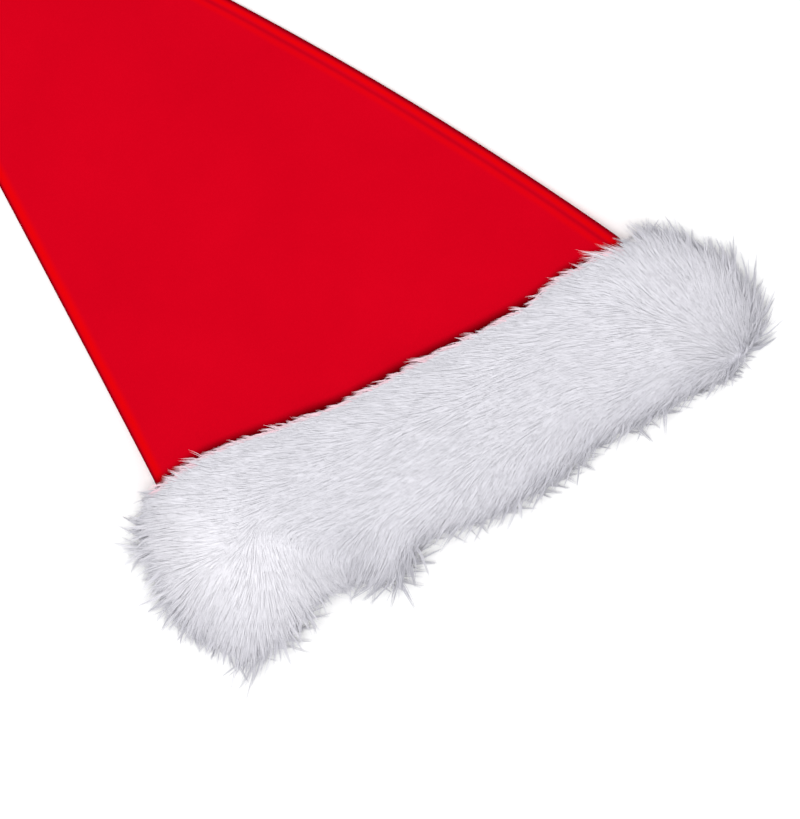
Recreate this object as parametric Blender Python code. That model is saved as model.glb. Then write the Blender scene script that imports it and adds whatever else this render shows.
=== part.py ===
"""A santa hat lying flat on a table: a red felt crown, a white plush cuff and a plush pompom.

Metres, +Z up. The hat is drawn in its own frame, where X runs along the cuff from the folded edge
to the sewn edge, Y runs from the cuff to the tip, and the crown leaves the cuff at Y 0. An empty
then carries the pieces, so that the middle of the hat's footprint is at the origin.
"""

import math
import random
from collections import namedtuple

import bmesh
import bpy
from mathutils import Vector

# Driving dimensions
MOUTH_WIDTH = 0.285  # the flat width of the hem, half of a loop for a 57 cm head
CROWN_WIDTH = 0.263  # the crown's flat width where it leaves the cuff
CROWN_LENGTH = 0.362  # from the cuff to the pompom
HEM_FLARE = 0.0085  # how far the hem's left end lies outside the crown's fold
FELT = 0.002  # the crown's wall
HEM_Y = -0.075  # the crown's lower edge, inside the cuff
GAP = 0.0005  # between the crown and what is sewn to it
LIP = 0.0025  # the plush turned in under the hem, which has no pile
LIP_Y = -0.055  # how far up it reaches inside the mouth
LIP_ROUND = 0.0012
BALL_RADIUS = 0.031  # the pompom under its pile
NECK_RADIUS = 0.009  # the crown's tip, which the pompom is sewn on
NECK_Z = 0.028
SOCKET = 0.008  # how deep the tip sits in the pompom

# The sewn edge runs in from the cuff, and bows a little on its way to the tip.
SEAM_LEAN = 0.4986
SEAM_BOW = 0.463

# Each loop round the hat has the same number of steps, over its two round ends and flat sides.
END_STEPS = 6
FLAT_STEPS = 18
AROUND = 2 * (END_STEPS + FLAT_STEPS)
WELD = 1e-6  # joins a loop of rings where it closes

RED = (0.68, 0.001, 0.012, 1)
WHITE = (0.86, 0.86, 0.89, 1)

# The crown lies flat on the table. At each Y, under is the height of its lower face, fold is how
# thick it is at its two edges, dome is what its middle adds to that, and tube is 0 where its two
# layers lie flat and 1 where they form a round tube.
Section = namedtuple("Section", "y left right under fold dome tube")


def sewn_edge(y):
    return CROWN_WIDTH / 2 - SEAM_LEAN * y - SEAM_BOW * y * y


FOLD_X = -CROWN_WIDTH / 2
HEM_X = FOLD_X - HEM_FLARE
NECK_X = sewn_edge(CROWN_LENGTH) - NECK_RADIUS
HEM = Section(HEM_Y, HEM_X, HEM_X + MOUTH_WIDTH, 0.006, 0.020, 0.004, 0)
NECK = Section(
    CROWN_LENGTH, NECK_X - NECK_RADIUS, NECK_X + NECK_RADIUS, NECK_Z - NECK_RADIUS, 2 * NECK_RADIUS, 0, 1
)
CROWN = (
    Section(0.000, FOLD_X, sewn_edge(0.000), 0.0060, 0.0200, 0.0040, 0),
    Section(0.030, FOLD_X, sewn_edge(0.030), 0.0020, 0.0175, 0.0085, 0),
    Section(0.065, FOLD_X, sewn_edge(0.065), 0.0000, 0.0145, 0.0110, 0),
    Section(0.130, FOLD_X, sewn_edge(0.130), 0.0000, 0.0112, 0.0125, 0),
    Section(0.200, FOLD_X, sewn_edge(0.200), 0.0000, 0.0095, 0.0110, 0),
    Section(0.265, FOLD_X, sewn_edge(0.265), 0.0000, 0.0090, 0.0080, 0),
    Section(0.305, FOLD_X + 0.0005, sewn_edge(0.305), 0.0015, 0.0105, 0.0050, 0.10),
    Section(0.335, FOLD_X + 0.0015, sewn_edge(0.335), 0.0090, 0.0145, 0.0015, 0.55),
    NECK,
)

# Where the plush body's upper and lower edges lie, without pile, from the fold to the sewn edge.
CuffEdge = namedtuple("CuffEdge", "x upper lower")
CUFF_EDGES = (
    CuffEdge(-0.160, -0.018, -0.075),
    CuffEdge(-0.140, -0.009, -0.087),
    CuffEdge(-0.115, -0.006, -0.099),
    CuffEdge(-0.085, -0.008, -0.090),
    CuffEdge(-0.048, -0.011, -0.095),
    CuffEdge(-0.018, -0.012, -0.088),
    CuffEdge(0.060, -0.012, -0.087),
    CuffEdge(0.110, -0.006, -0.082),
    CuffEdge(0.140, -0.001, -0.080),
    CuffEdge(0.165, -0.012, -0.073),
)

# The plush body's outer skin: across is the share of the way from its upper to its lower edge,
# and out is how far it stands off the crown's wall.
SkinRow = namedtuple("SkinRow", "across out")
CUFF_SKIN = (
    SkinRow(0.00, 0.0060),
    SkinRow(0.11, 0.0115),
    SkinRow(0.26, 0.0145),
    SkinRow(0.42, 0.0155),
    SkinRow(0.58, 0.0155),
    SkinRow(0.74, 0.0145),
    SkinRow(0.88, 0.0115),
    SkinRow(0.97, 0.0065),
)
FULLEST = max(row.out for row in CUFF_SKIN)
RIM_ACROSS = 0.04  # where the plush meets the crown, just under its upper edge
SEAM_SWELL = 0.009  # how much further the plush stands out where it passes over the sewn edge

# Soft dents in the cuff's upper side
Dent = namedtuple("Dent", "x y long wide deep")
CUFF_DENTS = (
    Dent(-0.062, -0.045, 0.060, 0.016, 0.0035),
    Dent(0.075, -0.030, 0.055, 0.016, 0.0030),
    Dent(0.000, -0.064, 0.030, 0.012, 0.0015),
)

# The pile's locks lie round the hat with the nap, and fan over the cuff's edges and ends.
LOCK_LENGTH = 0.0170
LOCK_RISE = 0.42
LOCK_LEAN = 0.72
LOCK_FAN = 0.62
END_RISE = 0.38
LOCK_WAIST = 0.62
LOCK_JITTER = 0.11
LOCK_VARIES = 0.16
CUFF_SEED = 24
LOWEST_ROOT = 0.002  # faces lower than this lie on the table and carry no lock
LOWEST_TIP = 0.0008

# Longer locks at the corners and edges: how far each tuft reaches, and how much longer it is
Tuft = namedtuple("Tuft", "x y reach longer")
CUFF_TUFTS = (
    Tuft(-0.110, -0.105, 0.018, 0.40),
    Tuft(-0.048, -0.100, 0.014, 0.40),
    Tuft(0.143, 0.000, 0.020, 0.30),
    Tuft(0.172, -0.045, 0.040, 0.45),
)

BALL_AROUND = 16
BALL_ROWS = 9
BALL_CROWN = 0.13  # the angle that the lock at its far end covers
BALL_LOCK = 0.0090
BALL_SWIRL = 0.35
BALL_SEED = 25


def clear_scene():
    for obj in list(bpy.data.objects):
        bpy.data.objects.remove(obj)


def read_column(table, key, name, at):
    """A column between the rows of a table, on a smooth curve that doesn't overshoot them."""
    keys = [getattr(row, key) for row in table]
    values = [getattr(row, name) for row in table]
    if at <= keys[0]:
        return values[0]
    if at >= keys[-1]:
        return values[-1]
    slopes = [(b - a) / (q - p) for a, b, p, q in zip(values, values[1:], keys, keys[1:])]

    def slope_at(row):
        if row == 0 or row == len(slopes):
            return slopes[min(row, len(slopes) - 1)]
        before, after = slopes[row - 1], slopes[row]
        return 0 if before * after <= 0 else 2 * before * after / (before + after)

    row = max(i for i in range(len(slopes)) if keys[i] <= at)
    step = keys[row + 1] - keys[row]
    t = (at - keys[row]) / step
    ends = values[row] * (1 + 2 * t) * (1 - t) ** 2 + values[row + 1] * t * t * (3 - 2 * t)
    return ends + step * t * (1 - t) * (slope_at(row) * (1 - t) - slope_at(row + 1) * t)


def crown_section(y):
    """The section at any Y. Inside the cuff the crown runs straight to its hem, and on past it."""
    if y < 0:
        share = y / HEM_Y
        return Section(y, *(a + (b - a) * share for a, b in zip(CROWN[0][1:], HEM[1:])))
    return Section(y, *(read_column(CROWN, "y", name, y) for name in Section._fields[1:]))


def place_on_loop(step):
    """How far along the flat sides a step is, from 1 to -1, and which way out of the loop is.

    Step 0 is the middle of the sewn edge, and the steps run over the upper layer to the fold and
    back under the lower one.
    """
    side, into = divmod((step + END_STEPS / 2) % AROUND, AROUND / 2)
    flat_share = max(into - END_STEPS, 0) / FLAT_STEPS
    along = 1 - 2 * flat_share if side == 0 else 2 * flat_share - 1
    return along, math.pi * (min(into / END_STEPS, 1) + side - 0.5)


def crown_point(y, step, out=0.0):
    """A point on the crown's outer face, or that far out from it."""
    row = crown_section(y)
    half, radius = (row.right - row.left) / 2, row.fold / 2
    along, turn = place_on_loop(step)
    dome = row.dome * math.cos(math.pi / 2 * along) ** 2 if math.sin(turn) > 0 else 0
    flat = Vector(
        (
            along * max(half - radius, 0) + (radius + out) * math.cos(turn),
            0,
            (radius + out) * math.sin(turn) + dome,
        )
    )
    turn = 2 * math.pi * step / AROUND
    tube = Vector(((half + out) * math.cos(turn), 0, (radius + out) * math.sin(turn)))
    return Vector(((row.left + row.right) / 2, y, row.under + radius)) + flat.lerp(tube, row.tube)


def way_out(point):
    """The direction away from the crown's core, round the hat."""
    row = crown_section(point.y)
    radius = row.fold / 2
    core_x = min(max(point.x, row.left + radius), row.right - radius)
    return Vector((point.x - core_x, 0, point.z - row.under - radius)).normalized()


def loft(bm, rings):
    """Skins the rings in turn. Returns their verts, and the faces of each band between two."""
    verts = [bm.verts.new(point) for point in rings[0]]
    edges = [bm.edges.new(pair) for pair in zip(verts, verts[1:] + verts[:1])]
    loops, bands = [verts], []
    for points in rings[1:]:
        made = bmesh.ops.extrude_edge_only(bm, edges=edges)["geom"]
        edges = [part for part in made if isinstance(part, bmesh.types.BMEdge)]
        new = {part for part in made if isinstance(part, bmesh.types.BMVert)}
        near = loops[-1]
        sides = [next(e for e in vert.link_edges if e.other_vert(vert) in new) for vert in near]
        loops.append([side.other_vert(vert) for side, vert in zip(sides, near)])
        bands.append(
            [next(f for f in a.link_faces if f in b.link_faces) for a, b in zip(sides, sides[1:] + sides[:1])]
        )
        for vert, point in zip(loops[-1], points):
            vert.co = point
    return loops, bands


def plain_material(name, colour, roughness):
    made = bpy.data.materials.new(name)
    made.use_nodes = True
    shader = made.node_tree.nodes["Principled BSDF"]
    shader.inputs["Base Color"].default_value = colour
    shader.inputs["Roughness"].default_value = roughness
    shader.inputs["Metallic"].default_value = 0.0
    return made


def finish_piece(bm, name, material, hat):
    bmesh.ops.recalc_face_normals(bm, faces=bm.faces)
    mesh = bpy.data.meshes.new(name)
    bm.to_mesh(mesh)
    bm.free()
    mesh.materials.append(material)
    mesh.shade_smooth()
    mesh.set_sharp_from_angle(angle=math.radians(50))
    piece = bpy.data.objects.new(name, mesh)
    bpy.context.scene.collection.objects.link(piece)
    piece.parent = hat
    return piece


def build_crown(hat, felt):
    """A felt wall, open at the hem and closed at the tip."""
    bm = bmesh.new()
    table_y = [row.y for row in CROWN]
    between = [(a + b) / 2 for a, b in zip(table_y, table_y[1:])]
    rows = [HEM_Y] + sorted(table_y + between)
    tip = CROWN_LENGTH + SOCKET - GAP
    outer = [[crown_point(y, step) for step in range(AROUND)] for y in rows]
    inner = [[crown_point(y, step, -FELT) for step in range(AROUND)] for y in rows]
    outer.append([Vector((p.x, tip, p.z)) for p in outer[-1]])
    inner.append([Vector((p.x, tip - FELT, p.z)) for p in inner[-1]])
    loops, _ = loft(bm, outer[::-1] + inner)
    for end in (loops[0], loops[-1]):
        bm.faces.new(end)
    return finish_piece(bm, "crown", felt, hat)


def cuff_y(x, across):
    upper = read_column(CUFF_EDGES, "x", "upper", x)
    return upper + (read_column(CUFF_EDGES, "x", "lower", x) - upper) * across


def dent_at(x, y):
    return sum(
        dent.deep * math.exp(-(((x - dent.x) / dent.long) ** 2) - ((y - dent.y) / dent.wide) ** 2)
        for dent in CUFF_DENTS
    )


def cuff_point(step, out, across=None, y=None):
    """A point that far out from the crown's wall, at a share of the cuff's height or at a Y."""
    if y is None:
        y = cuff_y(crown_point(HEM_Y / 2, step, max(out, 0)).x, across)
    return crown_point(y, step, out)


def skin_point(row, step):
    point = cuff_point(step, row.out, across=row.across)
    outward = way_out(point)
    if outward.z > 0:
        point.z -= dent_at(point.x, point.y) * outward.z
    point.x += SEAM_SWELL * max(outward.x, 0) ** 2 * row.out / FULLEST
    point.z = max(point.z, 0)
    return point


def nap(face, across):
    """The way a lock lies on a face of the skin."""
    outward = way_out(face.calc_center_median())
    along = outward.cross(Vector((0, 1, 0)))
    fan = Vector((0, 1 - 2 * across, 0)) * abs(1 - 2 * across) * LOCK_FAN
    rise = face.normal * (LOCK_RISE + END_RISE * abs(outward.x))
    return (rise + along * LOCK_LEAN + fan).normalized()


def grow_lock(bm, face, way, length, chance):
    """Draws a face out into one pointed lock of pile."""
    root = face.calc_center_median()
    way = (way + Vector([chance.uniform(-1, 1) for _ in range(3)]) * LOCK_JITTER).normalized()
    length *= 1 + chance.uniform(-1, 1) * LOCK_VARIES
    way.z = max(way.z, (LOWEST_TIP - root.z) / length)
    lock = bmesh.ops.extrude_discrete_faces(bm, faces=[face])["faces"][0]
    for vert in lock.verts:
        vert.co = root + (vert.co - root) * LOCK_WAIST + way * length / 2
        vert.co.z = max(vert.co.z, LOWEST_TIP / 2)
    tip = bmesh.ops.poke(bm, faces=[lock])["verts"][0]
    tip.co = root + way * length


def lock_length(root):
    longer = sum(
        tuft.longer * math.exp(-((root.x - tuft.x) ** 2 + (root.y - tuft.y) ** 2) / tuft.reach**2)
        for tuft in CUFF_TUFTS
    )
    return LOCK_LENGTH * (1 + longer)


def build_cuff(hat, plush):
    """A plush band round the crown, turned in under its hem, with its pile in locks."""
    bm = bmesh.new()
    steps = range(AROUND)
    inside = -FELT - GAP
    rings = [[skin_point(row, step) for step in steps] for row in CUFF_SKIN]
    rings.append([cuff_point(step, -FELT / 2, across=1.0) for step in steps])
    rings.append([cuff_point(step, inside - LIP, across=0.97) for step in steps])
    for y, out in (
        (LIP_Y - LIP_ROUND, inside - LIP),
        (LIP_Y, inside - LIP + LIP_ROUND),
        (LIP_Y, inside),
        (HEM_Y - GAP, inside),
        (HEM_Y - GAP, GAP),
    ):
        rings.append([cuff_point(step, out, y=y) for step in steps])
    rings.append([cuff_point(step, GAP, across=RIM_ACROSS) for step in steps])
    _, bands = loft(bm, rings + rings[:1])
    bmesh.ops.remove_doubles(bm, verts=bm.verts, dist=WELD)
    bmesh.ops.recalc_face_normals(bm, faces=bm.faces)

    chance = random.Random(CUFF_SEED)
    rows = [row.across for row in CUFF_SKIN] + [1.0]
    piled = [(band, (a + b) / 2) for band, a, b in zip(bands, rows, rows[1:])] + [(bands[-1], 0.0)]
    roots = [(face, across) for band, across in piled for face in band]
    roots = [(face, across) for face, across in roots if face.calc_center_median().z > LOWEST_ROOT]
    for face, across in roots:
        root = face.calc_center_median()
        if across == 0 and way_out(root).z < 0:
            continue
        way = nap(face, across)
        length = lock_length(root)
        if across == 0:
            way = (way + way_out(root) * LOCK_RISE).normalized()
            length *= LOCK_WAIST
        grow_lock(bm, face, way, length, chance)
    return finish_piece(bm, "fur_cuff", plush, hat)


def build_pompom(hat, plush):
    """A plush ball with a socket for the crown's tip, with its pile in locks."""
    bm = bmesh.new()
    mouth = NECK_RADIUS + GAP
    first = math.asin(mouth / BALL_RADIUS)
    centre = Vector((NECK_X, CROWN_LENGTH + BALL_RADIUS * math.cos(first), NECK_Z))

    def ring(radius, y):
        turns = [2 * math.pi * step / BALL_AROUND for step in range(BALL_AROUND)]
        points = [Vector((centre.x + radius * math.cos(t), y, centre.z + radius * math.sin(t))) for t in turns]
        return [Vector((p.x, p.y, max(p.z, 0))) for p in points]

    latitudes = [first + (math.pi - first) * row / BALL_ROWS for row in range(BALL_ROWS)]
    latitudes.append(math.pi - BALL_CROWN)
    rings = [ring(mouth, CROWN_LENGTH + SOCKET)]
    rings += [ring(BALL_RADIUS * math.sin(t), centre.y - BALL_RADIUS * math.cos(t)) for t in latitudes]
    loops, bands = loft(bm, rings)
    bm.faces.new(loops[0])
    far_end = bm.faces.new(loops[-1])
    bmesh.ops.recalc_face_normals(bm, faces=bm.faces)

    chance = random.Random(BALL_SEED)
    roots = [face for band in bands[1:] for face in band] + [far_end]
    roots = [face for face in roots if face.calc_center_median().z > LOWEST_ROOT]
    for face in roots:
        away = (face.calc_center_median() - centre).normalized()
        swirl = away.cross(Vector((0, 1, 0)))
        grow_lock(bm, face, (away + swirl * BALL_SWIRL).normalized(), BALL_LOCK, chance)
    return finish_piece(bm, "pompom", plush, hat)


def stand_on_origin(hat, pieces):
    """Moves the hat so that the middle of its footprint is at the origin."""
    corners = [vert.co for piece in pieces for vert in piece.data.vertices]
    low, high = (Vector(pick(co[i] for co in corners) for i in range(3)) for pick in (min, max))
    hat.location = (-(low.x + high.x) / 2, -(low.y + high.y) / 2, -low.z)


clear_scene()
hat_empty = bpy.data.objects.new("hat", None)
bpy.context.scene.collection.objects.link(hat_empty)
red_felt = plain_material("red_felt", RED, 0.85)
cuff_plush = plain_material("cuff_plush", WHITE, 0.95)
pompom_plush = plain_material("pompom_plush", WHITE, 0.95)
hat_pieces = [
    build_crown(hat_empty, red_felt),
    build_cuff(hat_empty, cuff_plush),
    build_pompom(hat_empty, pompom_plush),
]
stand_on_origin(hat_empty, hat_pieces)
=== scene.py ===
# The looks of the santa hat: red felt crown, white plush cuff and pompom, lying on a pale table.
import math

import bmesh
import bpy
import numpy as np
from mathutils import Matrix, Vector, kdtree


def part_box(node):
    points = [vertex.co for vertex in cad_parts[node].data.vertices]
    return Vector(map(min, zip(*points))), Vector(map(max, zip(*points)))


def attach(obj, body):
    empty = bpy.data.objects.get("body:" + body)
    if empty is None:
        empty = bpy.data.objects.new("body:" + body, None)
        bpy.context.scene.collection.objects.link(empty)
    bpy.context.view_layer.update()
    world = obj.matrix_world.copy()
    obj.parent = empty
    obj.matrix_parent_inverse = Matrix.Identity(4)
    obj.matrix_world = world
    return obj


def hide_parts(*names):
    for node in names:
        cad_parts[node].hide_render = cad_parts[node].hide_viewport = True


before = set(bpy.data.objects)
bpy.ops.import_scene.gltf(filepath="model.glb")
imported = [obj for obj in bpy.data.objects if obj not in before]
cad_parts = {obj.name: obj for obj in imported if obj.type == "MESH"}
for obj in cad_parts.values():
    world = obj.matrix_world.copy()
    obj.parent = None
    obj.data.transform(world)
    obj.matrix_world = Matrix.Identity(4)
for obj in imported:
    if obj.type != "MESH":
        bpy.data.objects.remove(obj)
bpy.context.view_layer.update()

# The hat's own frame: X along the cuff, Y towards the tip, and the crown leaves the cuff at Y 0
hemLeft = -0.140
hemY = -0.075
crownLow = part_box("crown")[0]
hatAt = np.array((crownLow.x - hemLeft, crownLow.y - hemY, 0))
onFloor = 0.0002  # the lowest that a cloth lies
sewnGap = 0.0005  # between the crown and what is sewn to it

studio = {
    "highPixels": 819,  # the picture's height, all of which the camera takes in at this scale
    "metresPerPixel": 0.0005,
    "lookAt": (-0.0060, -0.0249, 0.020),  # the middle of the picture, in the hat's frame
    "turn": math.radians(-27.88),
    "lens": 200,
    "sensor": 36,
    "floorSize": 6.0,
    "floorColour": (0.96, 0.96, 0.96, 1),
    "worldColour": (1.0, 1.0, 1.0, 1),
    "worldStrength": 0.82,
    "keyAt": (-0.15, -0.10, 3.1),  # from the hat, in the picture's own right, up and towards the camera
    "keySize": 1.2,
    "keyPower": 54,
}

felt = {
    "wall": 0.002,
    "around": 144,
    "rows": 120,
    "hemRight": 0.145,
    "hemUnder": 0.006,
    "hemFold": 0.020,
    "hemDome": 0.004,
    "width": 0.263,
    "length": 0.362,
    "tip": 0.3695,
    "neckRadius": 0.009,
    "seamLean": 0.4986,
    "seamBow": 0.463,
    "endShare": 0.25,  # how much of each layer's steps go round its end
    "pleats": 9,
    "pleatDeep": 0.0009,
    "pleatFrom": 0.285,
    "seamDeep": 0.0009,
    "seamWide": 0.0016,
    "darker": (0.470, 0.0002, 0.0075, 1),
    "lighter": (0.565, 0.0008, 0.0098, 1),
    "paintedHighlight": (0.640, 0.0008, 0.0016, 1),  # painted highlight: the lighter bands beside the fold and the seam
    "shadow": (0.045, 0.0000, 0.0004, 1),  # painted shadow: the dark lines where it turns under and beside the fur
    # how strongly the painted highlight and the painted shadows are mixed in
    "paintedHighlightShare": 0.85,
    "shadowShare": 0.80,
    "furShadowShare": 0.90,
    "wander": 0.02,  # how far the bands wander
}

# At each Y: the lower face's height, the folds' thickness, what the middle adds, and how round it is
crownRows = (
    (0.000, 0.0060, 0.0200, 0.0040, 0.00),
    (0.030, 0.0020, 0.0175, 0.0085, 0.00),
    (0.065, 0.0000, 0.0145, 0.0110, 0.00),
    (0.130, 0.0000, 0.0112, 0.0125, 0.00),
    (0.200, 0.0000, 0.0095, 0.0110, 0.00),
    (0.265, 0.0000, 0.0090, 0.0080, 0.00),
    (0.305, 0.0015, 0.0105, 0.0050, 0.10),
    (0.335, 0.0090, 0.0145, 0.0015, 0.55),
    (0.362, 0.0190, 0.0180, 0.0000, 1.00),
)


def readRows(rows, column, at):  # a smooth curve through a table's column, which doesn't overshoot it
    keys = np.array([row[0] for row in rows])
    values = np.array([row[column] for row in rows])
    step = np.diff(keys)
    slope = np.diff(values) / step
    product = slope[:-1] * slope[1:]
    total = np.where(product > 0, slope[:-1] + slope[1:], 1)
    middle = np.where(product > 0, 2 * product / total, 0)
    tangent = np.concatenate((slope[:1], middle, slope[-1:]))
    at = np.clip(at, keys[0], keys[-1])
    row = np.clip(np.searchsorted(keys, at, side="right") - 1, 0, len(step) - 1)
    t = (at - keys[row]) / step[row]
    ends = values[row] * (1 + 2 * t) * (1 - t) ** 2 + values[row + 1] * t * t * (3 - 2 * t)
    return ends + step[row] * t * (1 - t) * (tangent[row] * (1 - t) - tangent[row + 1] * t)


def smoothStep(low, high, at):
    t = np.clip((at - low) / (high - low), 0, 1)
    return t * t * (3 - 2 * t)


def unit(vectors):
    return vectors / np.maximum(np.linalg.norm(vectors, axis=-1, keepdims=True), 1e-12)


def crownSection(y):  # left, right, under, fold, dome and tube at any Y
    y = np.asarray(y, float)
    inside = np.clip(y / hemY, 0, None)
    up = np.clip(y, 0, felt["length"])
    half = felt["width"] / 2
    left = np.full(y.shape, -half)
    right = half - felt["seamLean"] * up - felt["seamBow"] * up * up
    left = left + 0.0015 * smoothStep(0.29, 0.335, y)
    neck = right - felt["neckRadius"]
    left = left + (neck - felt["neckRadius"] - left) * smoothStep(0.318, felt["length"], y)
    values = [left, right] + [readRows(crownRows, column, y) for column in (1, 2, 3, 4)]
    hem = (hemLeft, felt["hemRight"], felt["hemUnder"], felt["hemFold"], felt["hemDome"], 0)
    return [value + (end - value) * inside for value, end in zip(values, hem)]


def crownPoint(y, turn, out=0.0):  # turn goes from 0 at the sewn edge over the top, and back under
    left, right, under, fold, dome, tube = crownSection(y)
    half = (right - left) / 2
    radius = fold / 2
    end = felt["endShare"]
    into = ((turn % 1) * 2 + end / 2) % 2
    side = np.where(into >= 1, 1, 0)
    into = into - side
    flatShare = np.clip((into - end) / (1 - end), 0, None)
    along = np.where(side == 0, 1 - 2 * flatShare, 2 * flatShare - 1)
    angle = math.pi * (np.minimum(into / end, 1) + side - 0.5)
    rise = np.where(np.sin(angle) > 0, dome * np.cos(math.pi / 2 * along) ** 2, 0)
    flatX = along * np.maximum(half - radius, 0) + (radius + out) * np.cos(angle)
    flatZ = (radius + out) * np.sin(angle) + rise
    wholeTurn = 2 * math.pi * turn
    tubeX = (half + out) * np.cos(wholeTurn)
    tubeZ = (radius + out) * np.sin(wholeTurn)
    x = (left + right) / 2 + flatX + (tubeX - flatX) * tube
    z = under + radius + flatZ + (tubeZ - flatZ) * tube
    return np.stack(np.broadcast_arrays(x, np.asarray(y, float), z), -1)


def wayOut(points):  # the direction away from the crown's core, round the hat
    left, right, under, fold, _, _ = crownSection(points[..., 1])
    radius = fold / 2
    coreX = np.clip(points[..., 0], left + radius, right - radius)
    out = np.stack((points[..., 0] - coreX, np.zeros_like(coreX), points[..., 2] - under - radius), -1)
    return unit(out)


class Value:  # a socket of a shader, so that sums and products of sockets add their Math nodes
    def __init__(self, look, socket):
        self.look = look
        self.socket = socket

    def reckon(self, operation, *values):
        return self.look.node("ShaderNodeMath", {"operation": operation}, dict(enumerate(values)))

    def __add__(self, other):
        return self.reckon("ADD", self, other)

    def __sub__(self, other):
        return self.reckon("SUBTRACT", self, other)

    def __rsub__(self, other):
        return self.reckon("SUBTRACT", other, self)

    def __mul__(self, other):
        return self.reckon("MULTIPLY", self, other)

    __radd__ = __add__
    __rmul__ = __mul__

    def clipped(self, low, high):
        return self.look.node("ShaderNodeClamp", {}, {"Value": self, "Min": low, "Max": high})


class Look:  # one material, and the nodes that make it
    def __init__(self, name):
        self.material = bpy.data.materials.new(name)
        self.material.use_nodes = True
        self.tree = self.material.node_tree
        self.shader = self.tree.nodes["Principled BSDF"]

    def node(self, kind, settings, values, output=0):
        made = self.tree.nodes.new(kind)
        for name, value in settings.items():
            setattr(made, name, value)
        for name, value in values.items():
            self.give(made.inputs[name], value)
        return Value(self, made.outputs[output])

    def give(self, socket, value):
        if isinstance(value, Value):
            self.tree.links.new(value.socket, socket)
        else:
            socket.default_value = value

    def finish(self, fixed, varied):
        for name, value in fixed.items():
            self.shader.inputs[name].default_value = value
        for name, value in varied.items():
            self.give(self.shader.inputs[name], value)
        return self.material

    def mixed(self, share, low, high):
        settings = {"data_type": "RGBA"}
        return self.node("ShaderNodeMix", settings, {0: share, 6: low, 7: high}, 2)

    def band(self, value, middle, half):  # 1 at the middle, falling softly to 0 on both sides
        away = self.node("ShaderNodeMath", {"operation": "ABSOLUTE"}, {0: value - middle})
        values = {"Value": away, "From Min": 0.0, "From Max": half, "To Min": 1.0, "To Max": 0.0}
        return self.node("ShaderNodeMapRange", {"interpolation_type": "SMOOTHSTEP"}, values)

    def noise(self, place, scale, detail=2.0, roughness=0.5):
        values = {"Vector": place, "Scale": scale, "Detail": detail, "Roughness": roughness}
        return self.node("ShaderNodeTexNoise", {}, values)


def addPiece(name, mesh, material, smooth=True):
    mesh.materials.append(material)
    if smooth:
        mesh.shade_smooth()
    piece = bpy.data.objects.new(name, mesh)
    bpy.context.scene.collection.objects.link(piece)
    return piece


def meshFrom(name, bm):
    mesh = bpy.data.meshes.new(name)
    bm.to_mesh(mesh)
    bm.free()
    return mesh


def wrapGrid(name, around, rows, shape, capEnd=False):
    # a flat grid of faces, wrapped to a shape of its two shares, welded where it closes
    bm = bmesh.new()
    bmesh.ops.create_grid(bm, x_segments=around, y_segments=rows, size=0.5)
    places = np.array([vert.co for vert in bm.verts])
    points = shape(places[:, 0] + 0.5, places[:, 1] + 0.5) + hatAt
    for vert, point in zip(bm.verts, points):
        vert.co = point
    bmesh.ops.remove_doubles(bm, verts=bm.verts, dist=1e-6)
    if capEnd:
        far = max(vert.co.y for vert in bm.verts)
        loose = [edge for edge in bm.edges if edge.is_boundary]
        rim = [edge for edge in loose if all(vert.co.y > far - 1e-5 for vert in edge.verts)]
        bmesh.ops.holes_fill(bm, edges=rim, sides=0)
    bmesh.ops.recalc_face_normals(bm, faces=bm.faces)
    return meshFrom(name, bm)


# Red felt

def feltShape(turn, share):
    length = felt["tip"] - hemY
    y = hemY + length * share
    lean = smoothStep(felt["pleatFrom"], felt["length"], y)
    pleat = -felt["pleatDeep"] * lean * (0.5 + 0.5 * np.cos(2 * math.pi * felt["pleats"] * turn))
    fromSeam = np.minimum(turn % 1, 1 - turn % 1)
    seam = -felt["seamDeep"] * np.exp(-((fromSeam * 0.40 / felt["seamWide"]) ** 2)) * (1 - lean)
    point = crownPoint(np.minimum(y, felt["length"]), turn, pleat + seam)
    point[:, 1] = y
    return point


def clothMap(mesh):  # ways in from the fold, the sewn edge and the fur, in decimetres
    points = np.array([vert.co for vert in mesh.vertices]) - hatAt
    left, right = crownSection(points[:, 1])[:2]
    fromFur = points[:, 1] - readRows(cuffEdges, 1, points[:, 0]) - 0.0025
    corners = np.empty(len(mesh.loops), np.int32)
    mesh.loops.foreach_get("vertex_index", corners)
    maps = {"cloth": (points[:, 0] - left, right - points[:, 0]), "furSide": (fromFur, fromFur)}
    for name, ways in maps.items():
        places = np.stack(ways, -1)[corners] * 10
        mesh.uv_layers.new(name=name).uv.foreach_set("vector", places.astype(np.float32).ravel())


# Bands of painted highlight and painted shade in the felt's colour: beside which edge, how far in and how
# wide in decimetres, and how strong
paintedHighlightBands = (
    ("fold", 0.036, 0.040, 1.0),
    ("seam", 0.044, 0.026, 1.0),
    ("seam", 0.102, 0.030, 0.6),
)
# painted shade: dark lines at the fold's and the seam's very edge, and a duller band inside the seam
paintedShadeBands = (
    ("fold", 0.000, 0.022, 1.0),
    ("seam", 0.000, 0.034, 1.0),
    ("seam", 0.074, 0.018, 0.2),
)
# painted shadow on the felt along the fur's edge: its middle and half width, measured from the fur, in
# decimetres
furShadowBand = (-0.015, 0.065)


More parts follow.
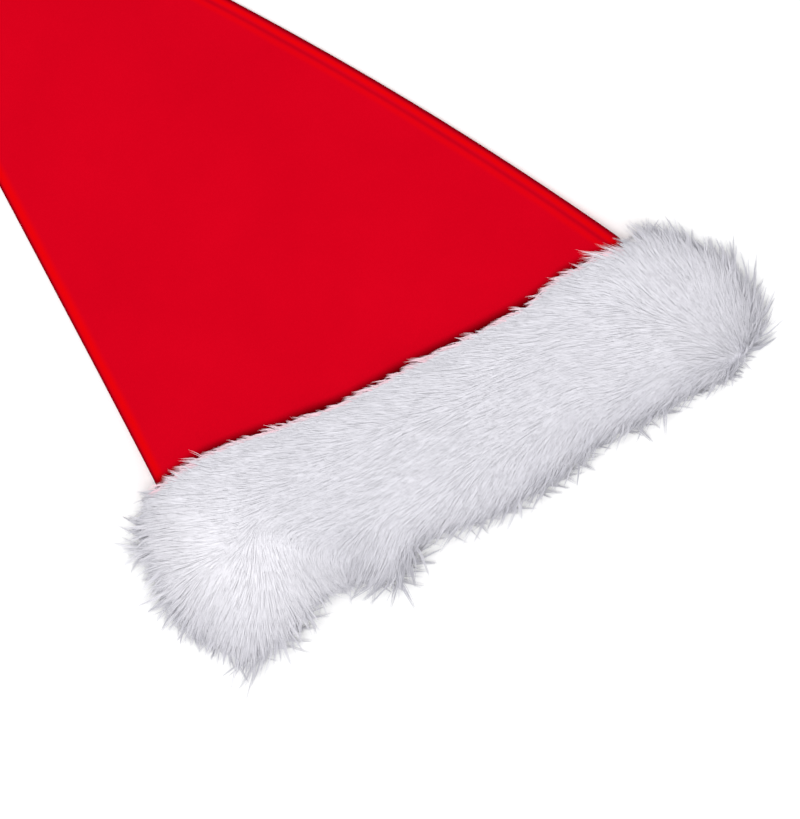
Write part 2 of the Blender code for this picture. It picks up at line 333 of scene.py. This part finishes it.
def feltLook():
    look = Look("red_felt_look")
    place = look.node("ShaderNodeTexCoord", {}, {}, "Object")
    cloth = look.node("ShaderNodeUVMap", {"uv_map": "cloth"}, {})
    inFrom = {
        "fold": look.node("ShaderNodeSeparateXYZ", {}, {"Vector": cloth}, "X"),
        "seam": look.node("ShaderNodeSeparateXYZ", {}, {"Vector": cloth}, "Y"),
    }
    furSide = look.node("ShaderNodeUVMap", {"uv_map": "furSide"}, {})
    fromFur = look.node("ShaderNodeSeparateXYZ", {}, {"Vector": furSide}, "X")
    cloud = look.noise(place, 26, 3, 0.55)
    fleck = look.noise(place, 900, 3, 0.7)
    combed = look.node("ShaderNodeMapping", {}, {"Vector": place, "Scale": (1, 0.35, 1)})
    fibre = look.noise(combed, 2600, 2, 0.6)
    wander = (cloud - 0.5) * felt["wander"]
    # painted highlight: lighter bands along the fold and the seam
    paintedHighlight = 0.0
    for edge, middle, half, strength in paintedHighlightBands:
        paintedHighlight = look.band(inFrom[edge] + wander, middle, half) * strength + paintedHighlight
    # painted shade: dark lines at the fold and the seam
    dark = 0.0
    for edge, middle, half, strength in paintedShadeBands:
        dark = look.band(inFrom[edge], middle, half) * strength + dark
    # painted shadow on the felt where it meets the fur
    beside = look.band(fromFur + wander, *furShadowBand)
    shade = (cloud - 0.5) * 0.7 + (fleck - 0.5) * 0.6 + (fibre - 0.5) * 0.35 + 0.5
    colour = look.mixed(shade.clipped(0, 1), felt["darker"], felt["lighter"])
    colour = look.mixed(paintedHighlight.clipped(0, 1) * felt["paintedHighlightShare"], colour, felt["paintedHighlight"])
    colour = look.mixed(dark.clipped(0, 1) * felt["shadowShare"], colour, felt["shadow"])
    colour = look.mixed(beside * felt["furShadowShare"], colour, felt["shadow"])
    height = fleck * 0.6 + fibre * 0.4
    bump = look.node("ShaderNodeBump", {}, {"Strength": 0.28, "Distance": 0.0006, "Height": height})
    fixed = {
        "Specular IOR Level": 0.0,
        "Sheen Weight": 0.10,
        "Sheen Roughness": 0.45,
        "Sheen Tint": (1.0, 0.01, 0.06, 1),
    }
    varied = {"Base Color": colour, "Roughness": 0.92 + (fleck - 0.5) * 0.1, "Normal": bump}
    return look.finish(fixed, varied)


def makeCrown():
    mesh = wrapGrid("crown_felt", felt["around"], felt["rows"], feltShape, capEnd=True)
    clothMap(mesh)
    piece = addPiece("crown_felt", mesh, feltLook())
    wall = piece.modifiers.new("wall", "SOLIDIFY")
    wall.thickness = felt["wall"]
    wall.offset = -1
    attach(piece, "root")
    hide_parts("crown")
    print("crown", len(mesh.polygons), "faces")


# White plush

cuff = {
    "around": 192,
    "rows": 72,
    "seamSwell": 0.018,  # how much further it stands out where it passes over the sewn edge
    "strands": 70000,
    "locks": 9000,
    "length": 0.0130,
    "rimLonger": 0.15,  # how much longer the pile is round the cuff's edges
    "topShort": 0.50,  # and how much shorter beside the felt
    "lie": 0.10,  # how far it stands up from the skin, and how much more round the edges
    "rimLie": 0.30,
    "stray": 0.035,
    "rimStray": 0.06,
    "lockStray": 0.015,  # how far whole locks turn aside
    "rimLockStray": 0.22,
    "tight": 0.06,  # how far a strand is drawn to its lock's tip
    "rimTight": 0.84,
    "thick": 0.00032,
    "softLight": 0.97,  # how far a strand's shading follows the skin
    "rimSoftLight": 0.60,
    "rimUp": 1.25,  # and how far it turns up round the edges, as light passes through the pile
    "tint": 0.55,
    "vary": 0.03,  # how much the locks differ in brightness, and how much more round the edges
    "rimVary": 0.12,
    "rimPaintedShade": 0.28,  # painted shade: how much darker the pile is painted round the edges
    "seed": 24,
    "perPiece": 18500,
    "colour": (0.910, 0.898, 0.950, 1),
    "deep": (0.530, 0.526, 0.582, 1),
    "backing": (0.740, 0.732, 0.793, 1),
    "paintedRedBounce": (1.000, 0.740, 0.810, 1),  # painted reflection: red light from the felt, painted into the pile's thin edge beside it
    "paintedRedBounceDeep": (0.900, 0.600, 0.680, 1),
    "rimSlope": (0.40, 0.93),  # the skin's slope, from all rim to no rim
    "besideRows": (0.4, 1.6),  # the rows of the skin that lie beside the felt
    "besideLeft": (-0.134, -0.126),
    "besideRight": (0.126, 0.138),
    "besideSwerve": 0.8,
    "besideUp": 3.0,
    "spread": (0.72, 1.12),  # from the shortest to the longest strand
}

# Where the plush body's upper and lower edges lie, without pile, from the fold to the sewn edge
cuffEdges = (
    (-0.160, -0.0200, -0.068),
    (-0.140, -0.0075, -0.078),
    (-0.122, -0.0025, -0.095),
    (-0.102, -0.0010, -0.092),
    (-0.080, -0.0030, -0.084),
    (-0.062, -0.0058, -0.085),
    (-0.048, -0.0073, -0.0945),
    (-0.026, -0.0095, -0.0835),
    (0.015, -0.0094, -0.089),
    (0.055, -0.0100, -0.085),
    (0.076, -0.0096, -0.0815),
    (0.100, -0.0055, -0.083),
    (0.118, -0.0055, -0.083),
    (0.140, -0.0110, -0.083),
    (0.168, -0.0240, -0.083),
)

# The plush skin's profile: its row, its share of the way down, and how far it stands off the crown
cuffProfile = (
    (-1, 0.04, 0.0005),
    (0, 0.00, 0.0050),
    (1, 0.08, 0.0092),
    (2, 0.26, 0.0120),
    (3, 0.42, 0.0130),
    (4, 0.58, 0.0130),
    (5, 0.74, 0.0120),
    (6, 0.90, 0.0092),
    (7, 0.985, 0.0040),
    (8, 1.00, -0.0010),
    (9, 0.97, -0.0048),
    (10, 0.80, -0.0050),
)

# Soft dents in the cuff's upper side: X, Y, long, wide, deep
cuffDents = (
    (-0.062, -0.045, 0.060, 0.016, 0.0045),
    (0.075, -0.030, 0.055, 0.016, 0.0040),
    (0.000, -0.064, 0.030, 0.012, 0.0015),
)


def cuffSkin(turn, row):
    across = readRows(cuffProfile, 1, row)
    out = readRows(cuffProfile, 2, row)
    x = crownPoint(np.full(np.shape(turn), hemY / 2), turn, np.maximum(out, 0))[..., 0]
    upper = readRows(cuffEdges, 1, x)
    lower = readRows(cuffEdges, 2, x)
    point = crownPoint(upper + (lower - upper) * across, turn, out)
    outward = wayOut(point)
    up = np.clip(outward[..., 2], 0, 1)
    swell = cuff["seamSwell"] * np.maximum(out, 0) / max(row[2] for row in cuffProfile)
    point[..., 0] += swell * np.clip(outward[..., 0], 0, 1) ** 2
    for dentX, dentY, long, wide, deep in cuffDents:
        near = np.exp(-(((point[..., 0] - dentX) / long) ** 2) - ((point[..., 1] - dentY) / wide) ** 2)
        point[..., 2] -= deep * near * up
    point[..., 2] = np.maximum(point[..., 2], onFloor)
    return point


def cuffBodyShape(turn, share):
    first, last = cuffProfile[0][0], cuffProfile[-1][0]
    return cuffSkin(turn, first + (last - first) * share)


def plushLook(name, light, deep):
    look = Look(name)
    place = look.node("ShaderNodeUVMap", {"uv_map": "OFBake"}, {})
    parts = look.node("ShaderNodeSeparateXYZ", {}, {"Vector": place})
    tint = Value(look, parts.socket.node.outputs["X"])
    along = Value(look, parts.socket.node.outputs["Y"])
    shade = along * 0.12 + tint * 0.90  # each strand is a little brighter towards its tip
    colour = look.mixed(shade.clipped(0, 1), deep, light)
    fixed = {"Specular IOR Level": 0.15, "Roughness": 0.75, "Sheen Weight": 0.1, "Sheen Roughness": 0.4}
    return look.finish(fixed, {"Base Color": colour})


def bodyLook(name, settings):
    look = Look(name)
    place = look.node("ShaderNodeTexCoord", {}, {}, "Object")
    fuzz = look.noise(place, 700, 3, 0.7)
    colour = look.mixed(fuzz, settings["backing"], settings["colour"])
    bump = look.node("ShaderNodeBump", {}, {"Strength": 0.7, "Distance": 0.001, "Height": fuzz})
    fixed = {"Specular IOR Level": 0.1, "Roughness": 0.95}
    return look.finish(fixed, {"Base Color": colour, "Normal": bump})


def growStrands(name, pile, material):
    # each strand is a closed, tapered spike of three sides that bends over from its root
    roots, normals, ways, lengths, thicks, tints, soft, shade = pile
    count = len(roots)
    tips = roots + ways * lengths[:, None]
    knees = roots + normals * (lengths * 0.20)[:, None] + ways * (lengths * 0.30)[:, None]
    rings, shades = [], []
    for share, taper in ((0.0, 1.0), (0.48, 0.8)):
        centre = roots * (1 - share) ** 2 + knees * 2 * share * (1 - share) + tips * share**2
        tangent = unit((knees - roots) * (1 - share) + (tips - knees) * share)
        side = unit(np.cross(tangent, normals + 1e-4))
        lift = np.cross(tangent, side)
        for corner in range(3):
            angle = 2 * math.pi * corner / 3 + math.pi / 2
            offset = side * math.cos(angle) + lift * math.sin(angle)
            rings.append(centre + offset * (thicks * taper / 2)[:, None])
            shades.append(unit(shade * soft[:, None] + offset * (1 - soft[:, None])))
    points = np.stack(rings + [tips], 1)
    shades = np.stack(shades + [unit(shade * soft[:, None] + ways * (1 - soft[:, None]))], 1)
    points[..., 2] = np.maximum(points[..., 2], 0.0003)
    sides = [(0, 1, 4, 3), (1, 2, 5, 4), (2, 0, 3, 5)]
    ends = [(3, 4, 6), (4, 5, 6), (5, 3, 6), (2, 1, 0)]
    pattern = [corner for face in sides + ends for corner in face]
    sizes = [len(face) for face in sides + ends]
    loops = (np.arange(count)[:, None] * 7 + np.array(pattern)[None, :]).ravel()
    mesh = bpy.data.meshes.new(name)
    mesh.vertices.add(count * 7)
    mesh.vertices.foreach_set("co", (points + hatAt).astype(np.float32).ravel())
    mesh.loops.add(len(loops))
    mesh.loops.foreach_set("vertex_index", loops.astype(np.int32))
    starts = np.concatenate(([0], np.cumsum(sizes)[:-1]))
    mesh.polygons.add(count * len(sizes))
    allStarts = (np.arange(count)[:, None] * len(pattern) + starts[None, :]).ravel()
    mesh.polygons.foreach_set("loop_start", allStarts.astype(np.int32))
    mesh.update(calc_edges=True)
    alongOf = np.array((0.0, 0.0, 0.0, 0.48, 0.48, 0.48, 1.0))
    asideOf = np.array((0.0, 0.01, 0.02, 0.0, 0.01, 0.02, 0.01))
    u = (tints[:, None] * 0.97 + asideOf[None, pattern]).ravel()
    v = np.broadcast_to(alongOf[pattern], (count, len(pattern))).ravel()
    layer = mesh.uv_layers.new(name="OFBake")
    layer.uv.foreach_set("vector", np.stack((u, v), -1).astype(np.float32).ravel())
    piece = addPiece(name, mesh, material)
    mesh.normals_split_custom_set_from_vertices(shades.reshape(-1, 3))
    return piece


def nearest(points, centres):  # which centre each point is nearest to
    tree = kdtree.KDTree(len(centres))
    for index, centre in enumerate(centres):
        tree.insert(centre, index)
    tree.balance()
    return np.array([tree.find(point)[1] for point in points])


def scatterOnCuff(count, chance):  # random roots, evenly over the skin and fewer where it meets the table
    tries = count * 6
    turn = chance.random(tries)
    row = chance.uniform(-0.6, 8.3, tries)
    step = 1e-4
    point = cuffSkin(turn, row)
    across = (cuffSkin(turn + step, row) - point) / step
    down = (cuffSkin(turn, row + step) - point) / step
    turned = np.cross(across, down)
    area = np.linalg.norm(turned, axis=1)
    normal = unit(turned)
    weight = area * np.where(point[:, 2] < 0.004, 0.35, 1.0)
    weight = np.where(normal[:, 2] < -0.5, weight * 0.35, weight)
    keep = chance.random(tries) < weight / np.quantile(weight, 0.995)
    chosen = np.flatnonzero(keep)[:count]
    return turn[chosen], row[chosen], point[chosen], normal[chosen]


# How the pile lies when seen from above: X, Y, and its direction there
napSpots = (
    (-0.151, -0.022, (-0.98, 0.10)),
    (-0.146, -0.004, (-0.96, 0.25)),
    (-0.157, -0.053, (-0.99, -0.16)),
    (-0.144, -0.082, (-0.77, -0.61)),
    (-0.131, -0.100, (-0.42, -0.91)),
    (-0.106, -0.098, (-0.05, -0.99)),
    (-0.085, -0.085, (0.35, -0.94)),
    (-0.092, -0.070, (-0.10, -0.99)),
    (-0.057, -0.094, (-0.75, -0.66)),
    (-0.123, -0.031, (-0.93, 0.38)),
    (-0.121, -0.066, (-0.77, -0.61)),
    (-0.063, -0.046, (-0.98, 0.10)),
    (-0.005, -0.054, (-0.98, -0.05)),
    (0.060, -0.049, (-1.00, 0.05)),
    (0.105, -0.050, (-0.94, 0.34)),
    (0.122, -0.064, (-0.97, 0.15)),
    (0.134, -0.078, (-0.95, 0.10)),
    (0.147, -0.068, (-0.50, 0.86)),
    (0.140, -0.035, (-0.30, 0.95)),
    (-0.122, 0.000, (-0.76, 0.65)),
    (-0.066, -0.010, (-0.90, 0.44)),
    (0.002, -0.010, (-0.90, 0.44)),
    (0.059, -0.009, (-0.90, 0.44)),
    (0.112, -0.003, (-0.80, 0.60)),
    (0.128, 0.000, (-0.80, 0.60)),
    (0.138, -0.004, (-0.10, 0.99)),
    (0.152, -0.012, (0.45, 0.89)),
    (0.165, -0.045, (0.45, 0.89)),
    (0.176, -0.062, (0.45, 0.89)),
    (0.158, -0.076, (0.00, 1.00)),
    (0.174, -0.080, (0.40, 0.90)),
    (0.150, -0.092, (-0.80, -0.55)),
    (0.168, -0.096, (0.10, -0.95)),
    (0.003, -0.092, (-0.80, -0.60)),
    (0.060, -0.089, (-0.80, -0.60)),
    (0.115, -0.087, (-0.84, -0.50)),
    (0.135, -0.087, (-0.84, -0.50)),
)
napReach = 0.014

# Painted light and painted shade on the pile, brighter and duller puffs where it would catch more or less
# light: X, Y, how far each reaches, and how much brighter it is painted
paintedLightPuffs = (
    (-0.125, -0.040, 0.028, 0.32),
    (-0.100, -0.062, 0.026, 0.30),
    (-0.062, -0.045, 0.030, -0.02),
    (0.150, -0.040, 0.034, 0.12),
    (-0.055, -0.084, 0.016, -0.26),
    (0.015, -0.086, 0.012, -0.12),
    (0.045, -0.085, 0.012, -0.20),
    (0.075, -0.083, 0.012, -0.24),
    (0.105, -0.083, 0.012, -0.24),
    (0.133, -0.082, 0.012, -0.20),
    (-0.144, -0.075, 0.022, -0.10),
)

# Longer pile at the corners and edges: X, Y, how far each tuft reaches, and how much longer it is
tufts = (
    (-0.120, -0.100, 0.015, 0.50),
    (-0.154, -0.022, 0.010, 0.90),
    (-0.044, -0.098, 0.010, 0.30),
    (0.148, -0.006, 0.012, 0.05),
    (0.166, -0.022, 0.014, -0.30),
    (0.130, -0.092, 0.030, -0.25),
    (-0.145, -0.086, 0.012, -0.45),
    (-0.073, -0.095, 0.012, -0.20),
    (-0.144, -0.004, 0.014, -0.55),
    (0.184, -0.060, 0.018, 0.50),
)

# Longer strands that lie over the felt: X, Y, how far each group reaches, and how much longer they are
wisps = (
    (-0.121, 0.000, 0.0050, 0.50),
    (-0.107, 0.000, 0.0050, 0.60),
    (0.015, -0.007, 0.0030, 1.00),
    (0.028, -0.007, 0.0030, 0.90),
    (0.124, -0.004, 0.0070, 1.80),
)


def napOver(points):
    total = np.zeros((len(points), 3))
    for x, y, (wayX, wayY) in napSpots:
        far = (points[:, 0] - x) ** 2 + (points[:, 1] - y) ** 2
        near = np.exp(-far / napReach**2) + 1e-5 / (1 + far / napReach**2)
        total[:, 0] += near * wayX
        total[:, 1] += near * wayY
    return unit(total)


def pileWays(points, normals, rim, lie):  # the way each strand lies, along the skin and a little off it
    out = wayOut(points)
    along = np.cross(out, (0.0, 1.0, 0.0))
    over = napOver(points)
    seamSide = smoothStep(0.06, 0.13, points[:, 0])  # there the pile runs along the edge
    top = smoothStep(-0.25 - 0.45 * seamSide, 0.35 - 0.35 * seamSide, out[:, 2])[:, None]
    fan = normals[:, 1:2] * np.array((0.0, 1.0, 0.0))
    outer = normals * np.array((1.0, 1.0, 0.0))
    under = along * 0.8 + fan * 0.9 + outer * 0.3
    way = over * top + outer * (rim * (0.5 - 0.3 * seamSide))[:, None] * top + under * (1 - top)
    way = unit(way - normals * np.sum(way * normals, 1, keepdims=True) * 0.9)
    return unit(way + normals * lie[:, None])


def spotted(spots, points):  # the sum of a table's spots at each point
    total = np.zeros(len(points))
    for x, y, reach, more in spots:
        total += more * np.exp(-((points[:, 0] - x) ** 2 + (points[:, 1] - y) ** 2) / reach**2)
    return total


def lockedPile(roots, ways, lengths, settings, tight, swerve, vary, chance):
    # gathers the strands in locks: a lock's strands turn aside together and draw towards its tip
    count = len(roots)
    centres = chance.choice(count, settings["locks"], replace=False)
    lock = centres[nearest(roots, roots[centres])]
    ways = unit(ways + chance.normal(0, 1, (count, 3))[lock] * swerve[:, None])
    lengths = lengths * (1 + np.clip(chance.normal(0, 1, count)[lock], -1.5, 1.5) * swerve)
    tips = roots + ways * lengths[:, None]
    lockTips = roots[lock] + ways[lock] * (lengths[lock] * 1.03)[:, None] + (roots - roots[lock]) * 0.2
    reach = tips + (lockTips - tips) * tight[:, None] - roots
    unlike = chance.normal(0, 1, count)[lock] + 0.7 * chance.normal(0, 1, count)
    tints = settings["tint"] + unlike * vary
    thicks = settings["thick"] * chance.uniform(0.75, 1.2, count)
    return roots, unit(reach), np.linalg.norm(reach, axis=1), thicks, tints


def makeCuff():
    chance = np.random.default_rng(cuff["seed"])
    body = wrapGrid("cuff_backing", cuff["around"], cuff["rows"], cuffBodyShape)
    backing = addPiece("cuff_backing", body, bodyLook("plush_backing_look", cuff))
    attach(backing, "root")
    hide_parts("fur_cuff")
    turn, row, roots, normals = scatterOnCuff(cuff["strands"], chance)
    count = len(roots)
    rim = 1 - smoothStep(*cuff["rimSlope"], normals[:, 2])
    onTop = smoothStep(0.0, 0.5, wayOut(roots)[:, 2])
    early = (1 - smoothStep(*cuff["besideRows"], row)) * (1 - smoothStep(*cuff["besideRight"], roots[:, 0]))
    early = early * smoothStep(*cuff["besideLeft"], roots[:, 0])
    beside = early * onTop
    rim = rim * (1 - beside)
    ways = pileWays(roots, normals, rim, cuff["lie"] + cuff["rimLie"] * rim)
    stray = cuff["stray"] + cuff["rimStray"] * rim
    ways = unit(ways + chance.normal(0, 1, (count, 3)) * stray[:, None])
    lengths = cuff["length"] * (1 + cuff["rimLonger"] * rim) * (1 + spotted(tufts, roots) * rim)
    lengths *= chance.uniform(*cuff["spread"], count) * (1 - cuff["topShort"] * early)
    lengths *= 1 + spotted(wisps, roots) * early
    tight = cuff["tight"] + cuff["rimTight"] * rim
    swerve = cuff["lockStray"] + cuff["rimLockStray"] * np.maximum(rim, beside * cuff["besideSwerve"])
    vary = cuff["vary"] + cuff["rimVary"] * rim
    locked = lockedPile(roots, ways, lengths, cuff, tight, swerve, vary, chance)
    roots, ways, lengths, thicks, tints = locked
    # painted light and painted shade: brighter and duller puffs, and a darker rim
    tints = np.clip(tints + spotted(paintedLightPuffs, roots) - cuff["rimPaintedShade"] * rim, 0, 1)
    soft = cuff["softLight"] + (cuff["rimSoftLight"] - cuff["softLight"]) * rim
    shade = unit(normals + np.array((0, 0, 1)) * (cuff["rimUp"] * rim + cuff["besideUp"] * beside)[:, None])
    pile = (roots, normals, ways, lengths, thicks, tints, soft, shade)
    look = plushLook("cuff_plush_look", cuff["colour"], cuff["deep"])
    # the pile along the felt gets a painted pink reflection of the felt's red
    redBounceLook = plushLook("cuff_edge_red_bounce_look", cuff["paintedRedBounce"], cuff["paintedRedBounceDeep"])
    atEdge = (row < cuff["besideRows"][0]) & (early * onTop > 0.5)
    order = np.argsort(roots[:, 0] + 9 * atEdge, kind="stable")
    parts = np.array_split(order[:count - np.sum(atEdge)], math.ceil(count / cuff["perPiece"]))
    pieces = [(f"cuff_pile_{number + 1}", part, look) for number, part in enumerate(parts)]
    pieces.append(("cuff_edge_pile", np.flatnonzero(atEdge), redBounceLook))
    for name, part, material in pieces:
        piece = growStrands(name, [column[part] for column in pile], material)
        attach(piece, "root")
    print("cuff", count, "strands")


# Pompom

ball = {
    "radius": 0.031,
    "neckZ": 0.028,
    "around": 96,
    "rows": 48,
    "strands": 17000,
    "locks": 1300,
    "length": 0.0100,
    "thick": 0.00036,
    "spread": (0.75, 1.15),
    "swirl": 0.35,
    "stray": 0.12,
    "lockStray": 0.06,
    "lowUp": 0.8,  # how far the shading of its lower side turns up
    "lowPaintedShade": 0.15,  # and painted shade: how much darker its lower side is painted
    "tint": 0.75,
    "vary": 0.08,
    "tight": 0.55,
    "softLight": 0.75,
    "seed": 25,
    "colour": cuff["colour"],
    "deep": (0.700, 0.693, 0.750, 1),
    "backing": cuff["backing"],
}


def ballCentre():
    first = math.asin((felt["neckRadius"] + sewnGap) / ball["radius"])
    x = crownSection(felt["length"])[1] - felt["neckRadius"]
    return np.array((float(x), felt["length"] + ball["radius"] * math.cos(first), ball["neckZ"]))


def makePompom():
    chance = np.random.default_rng(ball["seed"])
    centre = ballCentre()
    mouth = math.asin((felt["neckRadius"] + sewnGap) / ball["radius"])
    bm = bmesh.new()
    around, rows = ball["around"], ball["rows"]
    bmesh.ops.create_uvsphere(bm, u_segments=around, v_segments=rows, radius=ball["radius"])
    bmesh.ops.translate(bm, verts=bm.verts, vec=Vector(centre + hatAt))
    for vert in bm.verts:
        vert.co.z = max(vert.co.z, onFloor)
    body = meshFrom("pompom_ball", bm)
    piece = addPiece("pompom_ball", body, bodyLook("pompom_backing_look", ball))
    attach(piece, "root")
    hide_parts("pompom")
    count = ball["strands"]
    normals = unit(chance.normal(0, 1, (int(count * 1.08), 3)))
    normals = normals[normals[:, 1] > -math.cos(mouth) + 0.02][:count]
    count = len(normals)
    roots = centre + normals * ball["radius"]
    roots[:, 2] = np.maximum(roots[:, 2], 0.0005)
    swirl = np.cross(normals, (0.0, 1.0, 0.0))
    ways = unit(normals + swirl * ball["swirl"] + chance.normal(0, ball["stray"], (count, 3)))
    lengths = ball["length"] * chance.uniform(*ball["spread"], count)
    swerve = np.full(count, ball["lockStray"])
    tight = np.full(count, ball["tight"])
    locked = lockedPile(roots, ways, lengths, ball, tight, swerve, ball["vary"], chance)
    roots, ways, lengths, thicks, tints = locked
    low = 1 - smoothStep(-0.2, 0.6, normals[:, 2])
    shade = unit(normals + np.array((0, 0, 1)) * (low * ball["lowUp"])[:, None])
    # painted shade on the pompom's lower side
    tints = np.clip(tints - ball["lowPaintedShade"] * low, 0, 1)
    parts = (roots, normals, ways, lengths, thicks, tints, np.full(count, ball["softLight"]), shade)
    look = plushLook("pompom_plush_look", ball["colour"], ball["deep"])
    pile = growStrands("pompom_pile", parts, look)
    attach(pile, "root")
    print("pompom", count, "strands")


# Table, light and camera

def makeStudio():
    scene = bpy.context.scene
    look = Look("table_look")
    look.finish({"Base Color": studio["floorColour"], "Roughness": 0.9, "Specular IOR Level": 0.0}, {})
    bm = bmesh.new()
    bmesh.ops.create_grid(bm, x_segments=1, y_segments=1, size=studio["floorSize"] / 2)
    floor = addPiece("table", meshFrom("table", bm), look.material)
    world = bpy.data.worlds.new("studio_world")
    world.use_nodes = True
    scene.world = world
    background = world.node_tree.nodes["Background"]
    background.inputs["Color"].default_value = studio["worldColour"]
    background.inputs["Strength"].default_value = studio["worldStrength"]
    target = Vector(np.array(studio["lookAt"]) + hatAt)
    cos, sin = math.cos(studio["turn"]), math.sin(studio["turn"])
    right = Vector((cos, sin, 0))
    up = Vector((-sin, cos, 0))
    keyX, keyY, keyZ = studio["keyAt"]
    lamp = bpy.data.lights.new("key_light", "AREA")
    lamp.shape = "DISK"
    lamp.size = studio["keySize"]
    lamp.energy = studio["keyPower"]
    key = bpy.data.objects.new("key_light", lamp)
    key.location = target + right * keyX + up * keyY + Vector((0, 0, keyZ))
    key.rotation_euler = (target - key.location).to_track_quat("-Z", "Y").to_euler()
    scene.collection.objects.link(key)
    data = bpy.data.cameras.new("camera")
    data.lens = studio["lens"]
    data.sensor_width = studio["sensor"]
    camera = bpy.data.objects.new("camera", data)
    away = studio["highPixels"] * studio["metresPerPixel"] * studio["lens"] / studio["sensor"]
    camera.location = target + Vector((0, 0, away))
    camera.rotation_euler = (0, 0, studio["turn"])
    scene.collection.objects.link(camera)
    scene.camera = camera
    scene.view_settings.view_transform = "Standard"


makeStudio()
makeCrown()
makeCuff()
makePompom()
